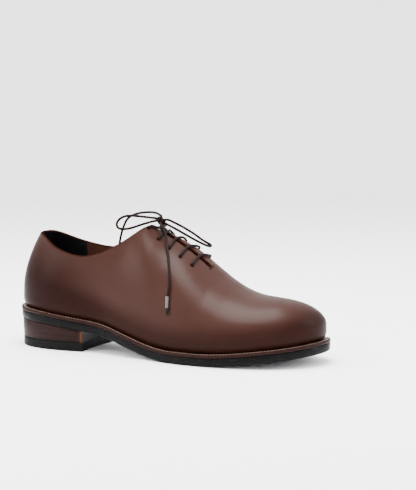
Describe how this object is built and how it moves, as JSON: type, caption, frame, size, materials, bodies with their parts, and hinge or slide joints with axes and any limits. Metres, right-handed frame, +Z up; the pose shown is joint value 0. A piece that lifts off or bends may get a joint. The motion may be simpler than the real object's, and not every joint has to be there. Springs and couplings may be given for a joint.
{
  "type": "whole cut oxford shoe",
  "caption": "Right whole cut oxford in brown calf, laced, on a welted leather sole with a stacked heel.",
  "frame": {"origin": "middle of the heel's rest face, on the floor", "axes": "+X towards the toe, +Y towards the inner side of the foot, +Z up"},
  "size_m": [0.3019, 0.104, 0.1277],
  "materials": {
    "calf": "smooth semi gloss burnished calf",
    "outsole_edge": "black waxed edge",
    "welt": "brown waxed welt",
    "heel_stack": "waxed stacked leather",
    "top_lift": "matt rubber",
    "insole": "soft lining leather",
    "tongue": "smooth calf",
    "lace": "round waxed cotton",
    "aglet": "clear sleeve over the lace"
  },
  "bodies": {
    "root": {"outsole": "outsole_edge", "welt": "welt", "heel_stack": "heel_stack", "top_lift": "top_lift", "insole": "insole", "upper": "calf", "tongue": "tongue", "lace_bar_1": "lace", "lace_bar_2": "lace", "lace_bar_3": "lace", "lace_bar_4": "lace", "lace_bar_5": "lace", "lace_knot": "lace", "lace_loop_back": "lace", "lace_loop_front": "lace", "lace_end_lateral": "lace", "lace_end_medial": "lace", "aglet_lateral": "aglet", "aglet_medial": "aglet"}
  },
  "joints": []
}
